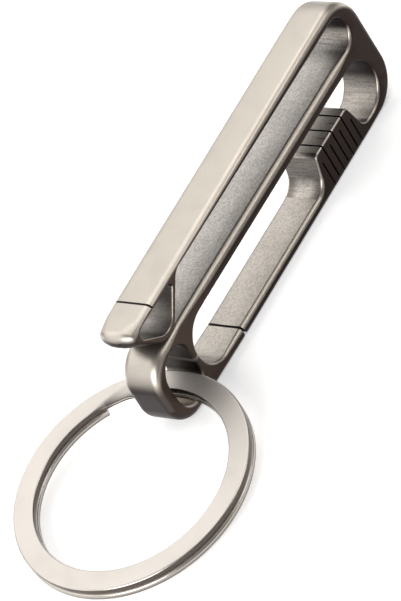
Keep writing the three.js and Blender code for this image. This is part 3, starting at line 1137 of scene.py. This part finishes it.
@dataclass
class SplitRing:
    """Two turns of flat strip with a step between them."""

    # The strip's sizes, and the ring's place in the plate's plan, in millimetres
    middle_r: float = 14.316
    strip_w: float = 2.846
    strip_t: float = 0.84
    pitch: float = 0.94
    corner: float = 0.28
    corner_parts: int = 5
    flat_parts: int = 10
    centre: Point = (-15.291, -1.396, 2.187)
    tilt: float = math.radians(4.4)
    lean: float = math.radians(1.7)

    # Angles where the strip starts, is pressed, steps down and ends, and the parts between them
    start: float = math.radians(14.0)
    press_start: float = math.radians(-300.0)
    step_start: float = math.radians(-326.0)
    step_end: float = math.radians(-343.0)
    end: float = math.radians(-674.6)
    upper_parts: int = 124
    press_parts: int = 26
    step_parts: int = 16
    lower_parts: int = 136
    low_shift: Plan = (-0.15, -0.18)

    # The slanting crease on the upper turn, and how the strip inside it is pressed down
    crease_r: float = 13.46
    crease_angle: float = math.radians(48.0)
    crease_rise: float = 4.42
    press_slope: float = 0.60
    press_ease: float = 0.23
    press_depth: float = 0.60
    press_ease_angle: float = 0.28
    press_from: float = math.radians(62.0)
    press_margin: float = 0.05

    def place(self) -> Matrix:
        """Return the ring's place in the row's frame."""
        turn = Matrix.Rotation(self.lean, 4, "X") @ Matrix.Rotation(-self.tilt, 4, "Y")
        return TO_ROW @ Matrix.Translation(self.centre) @ turn

    def build(self) -> bpy.types.Mesh:
        """Wind the strip into the ring.

        Returns:
            The ring's mesh, in metres in the row's frame.
        """
        bm = bmesh.new()
        bmesh.ops.create_grid(bm, x_segments=self.flat_parts, y_segments=1, size=0.5)
        bmesh.ops.scale(bm, verts=bm.verts, vec=(self.strip_w, self.strip_t, 1.0))
        inner = [e for e in bm.edges if not e.is_boundary]
        bmesh.ops.dissolve_edges(bm, edges=inner, use_verts=False)
        corners = [v for v in bm.verts if abs(v.co.x) > self.strip_w / 2.0 - TOUCHING]
        bmesh.ops.bevel(
            bm,
            geom=corners,
            offset=self.corner,
            segments=self.corner_parts,
            profile=0.5,
            affect="VERTICES",
            material=-1,
        )
        bmesh.ops.rotate(bm, verts=bm.verts, matrix=Matrix.Rotation(math.pi / 2.0, 3, "X"))
        bmesh.ops.translate(bm, verts=bm.verts, vec=(self.middle_r, 0.0, self.pitch / 2.0))
        bmesh.ops.rotate(bm, verts=bm.verts, matrix=Matrix.Rotation(self.start, 3, "Z"))
        bmesh.ops.delete(bm, geom=bm.faces[:], context="FACES_ONLY")
        section = self._wind(bm, bm.edges[:], self.start, self.press_start, self.upper_parts)
        section = self._wind(bm, section, self.press_start, self.step_start, self.press_parts)
        step = Vector((*self.low_shift, -self.pitch))
        drop = 0.0
        for part in range(1, self.step_parts + 1):
            t = part / self.step_parts
            lower = t * t * (3.0 - 2.0 * t)
            turn = (self.step_end - self.step_start) / self.step_parts
            section = self._wind(bm, section, 0.0, turn, 1, (lower - drop) * step, drop * step)
            drop = lower
        self._wind(bm, section, self.step_end, self.end, self.lower_parts, Vector(), step)
        self._press(bm)
        bmesh.ops.holes_fill(bm, edges=bm.edges[:], sides=0)
        bmesh.ops.recalc_face_normals(bm, faces=bm.faces)
        bmesh.ops.transform(bm, matrix=self.place(), verts=bm.verts)
        return MeshTools.written(bm, "split_ring")

    def _wind(
        self,
        bm: bmesh.types.BMesh,
        section: list[bmesh.types.BMEdge],
        start: float,
        end: float,
        steps: int,
        move: Vector = Vector(),
        centre: Vector = Vector(),
    ) -> list[bmesh.types.BMEdge]:
        """Sweep the strip's section round the ring's axis.

        Args:
            bm: The mesh.
            section: The section's edges where the sweep starts.
            start: The angle it starts from.
            end: The angle it goes to.
            steps: Number of steps.
            move: How far the strip moves at each step.
            centre: The point that the strip is wound round.

        Returns:
            The section's edges where the sweep ends.
        """
        geom = section + list(dict.fromkeys(v for e in section for v in e.verts))
        spun = bmesh.ops.spin(
            bm, geom=geom, cent=centre, axis=(0, 0, 1), dvec=move, angle=end - start, steps=steps
        )
        return [e for e in spun["geom_last"] if isinstance(e, bmesh.types.BMEdge)]

    def _press(self, bm: bmesh.types.BMesh) -> None:
        """Press the upper turn's inner side down along a slanting crease before the step.

        Args:
            bm: The wound strip, level and centred.
        """
        for vert in bm.verts:
            angle = math.atan2(vert.co.y, vert.co.x)
            on_top = (vert.co.z - (self.pitch - self.strip_t) / 2.0) / self.strip_t
            if on_top < 0.0 or not self.start + self.press_margin < angle < self.press_from:
                continue
            crease = self.crease_r + (self.crease_angle - angle) * self.crease_rise
            eased = min(max((self.crease_angle - angle) / self.press_ease_angle, 0.0), 1.0)
            slope = self.press_slope + (self.press_ease - self.press_slope) * eased
            press = (crease - math.hypot(vert.co.x, vert.co.y)) * slope
            vert.co.z -= min(max(press, 0.0), self.press_depth) * min(on_top, 1.0)

    def finish(self) -> RingSteel:
        """Return the strip's finish, centred on the ring."""
        return RingSteel(centre=tuple(self.place().translation), turn=(self.lean, -self.tilt, 0.0))

    def dress(self, mesh: bpy.types.Mesh, finish: bpy.types.Material) -> None:
        """Make the ring into a piece that swings with its body.

        Args:
            mesh: The ring's mesh.
            finish: The strip's finish.
        """
        obj = MeshTools.piece("split_ring_strip", mesh, finish, Slot.RING_STEEL)
        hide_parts("split_ring")
        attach(obj, "split_ring")


@dataclass(frozen=True)
class SoftBox:
    """A square soft box that looks at the object."""

    name: str
    toward: Point
    distance: float
    side: float
    radiance: float
    colour: Colour

    def hang(self) -> None:
        """Hang the lamp."""
        lamp = bpy.data.lights.new(self.name, "AREA")
        lamp.shape = "SQUARE"
        lamp.size = self.side
        lamp.color = self.colour
        lamp.energy = self.radiance * math.pi * self.side**2
        obj = bpy.data.objects.new(self.name, lamp)
        away = Vector(self.toward).normalized()
        obj.location = away * self.distance
        obj.rotation_euler = away.to_track_quat("Z", "Y").to_euler()
        bpy.context.scene.collection.objects.link(obj)


@dataclass
class Studio:
    """Floor, lamps, world and camera."""

    boxes: Sequence[SoftBox] = (
        SoftBox("key_box", (0.46, 0.63, 0.63), 0.55, 0.62, 1.08, (1.0, 0.985, 0.965)),
        SoftBox("left_box", (-0.55, 0.62, 0.55), 0.60, 0.55, 1.25, (1.0, 0.985, 0.965)),
        SoftBox("over_box", (0.40, 0.10, 0.91), 0.60, 0.48, 1.4, (1.0, 0.99, 0.98)),
        SoftBox("front_box", (0.47, -0.62, 0.63), 0.60, 0.28, 2.0, (1.0, 0.96, 0.92)),
        SoftBox("side_box", (-0.88, -0.14, 0.44), 0.60, 0.40, 5.0, (1.0, 0.99, 0.98)),
        SoftBox("back_box", (-0.06, 0.66, 0.75), 0.60, 0.40, 1.0, (1.0, 0.985, 0.965)),
    )
    world_colour: Colour = (1.0, 0.99, 0.98)
    world_level: float = 0.20
    floor_side: float = 6.0
    floor_parts: int = 4
    camera_place: Point = (-200.983, -264.334, 268.926)
    camera_right: Point = (0.46317, -0.77349, -0.43265)
    camera_up: Point = (0.75075, 0.08298, 0.65535)
    camera_back: Point = (-0.47101, -0.62835, 0.61913)
    lens: float = 209.65
    sensor_width: float = 36.0
    nearest: float = 0.01

    def set_up(self) -> None:
        """Place everything that isn't part of the object."""
        self._floor()
        for box in self.boxes:
            box.hang()
        self._world()
        self._camera()
        bpy.context.scene.view_settings.view_transform = "Standard"

    def _floor(self) -> None:
        """Lay the floor."""
        bm = bmesh.new()
        parts = self.floor_parts
        bmesh.ops.create_grid(bm, x_segments=parts, y_segments=parts, size=self.floor_side / 2.0)
        mesh = MeshTools.written(bm, "floor")
        mesh.materials.append(PaleFloor().make())
        floor = bpy.data.objects.new("floor", mesh)
        bpy.context.scene.collection.objects.link(floor)

    def _world(self) -> None:
        """Give the room its low even light."""
        world = bpy.data.worlds.new("room")
        world.use_nodes = True
        background = world.node_tree.nodes["Background"]
        background.inputs["Color"].default_value = (*self.world_colour, 1.0)
        background.inputs["Strength"].default_value = self.world_level
        bpy.context.scene.world = world

    def _camera(self) -> None:
        """Set the camera at the photograph's viewing angle."""
        camera = bpy.data.cameras.new("camera")
        camera.sensor_fit = "AUTO"
        camera.sensor_width = self.sensor_width
        camera.lens = self.lens
        camera.clip_start = self.nearest
        obj = bpy.data.objects.new("camera", camera)
        turn = Matrix((self.camera_right, self.camera_up, self.camera_back)).transposed().to_4x4()
        obj.matrix_world = Matrix.Translation(Vector(self.camera_place) * MM) @ turn
        bpy.context.scene.collection.objects.link(obj)
        bpy.context.scene.camera = obj


def main() -> None:
    """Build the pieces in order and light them."""
    logging.basicConfig(level=logging.INFO, format="%(name)s %(message)s")
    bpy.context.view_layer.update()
    plate = ClipPlate()
    plate.dress(plate.build(), BlastedTitanium().make())
    ring = SplitRing()
    ring.dress(ring.build(), ring.finish().make())
    Studio().set_up()


if __name__ == "__main__":
    main()
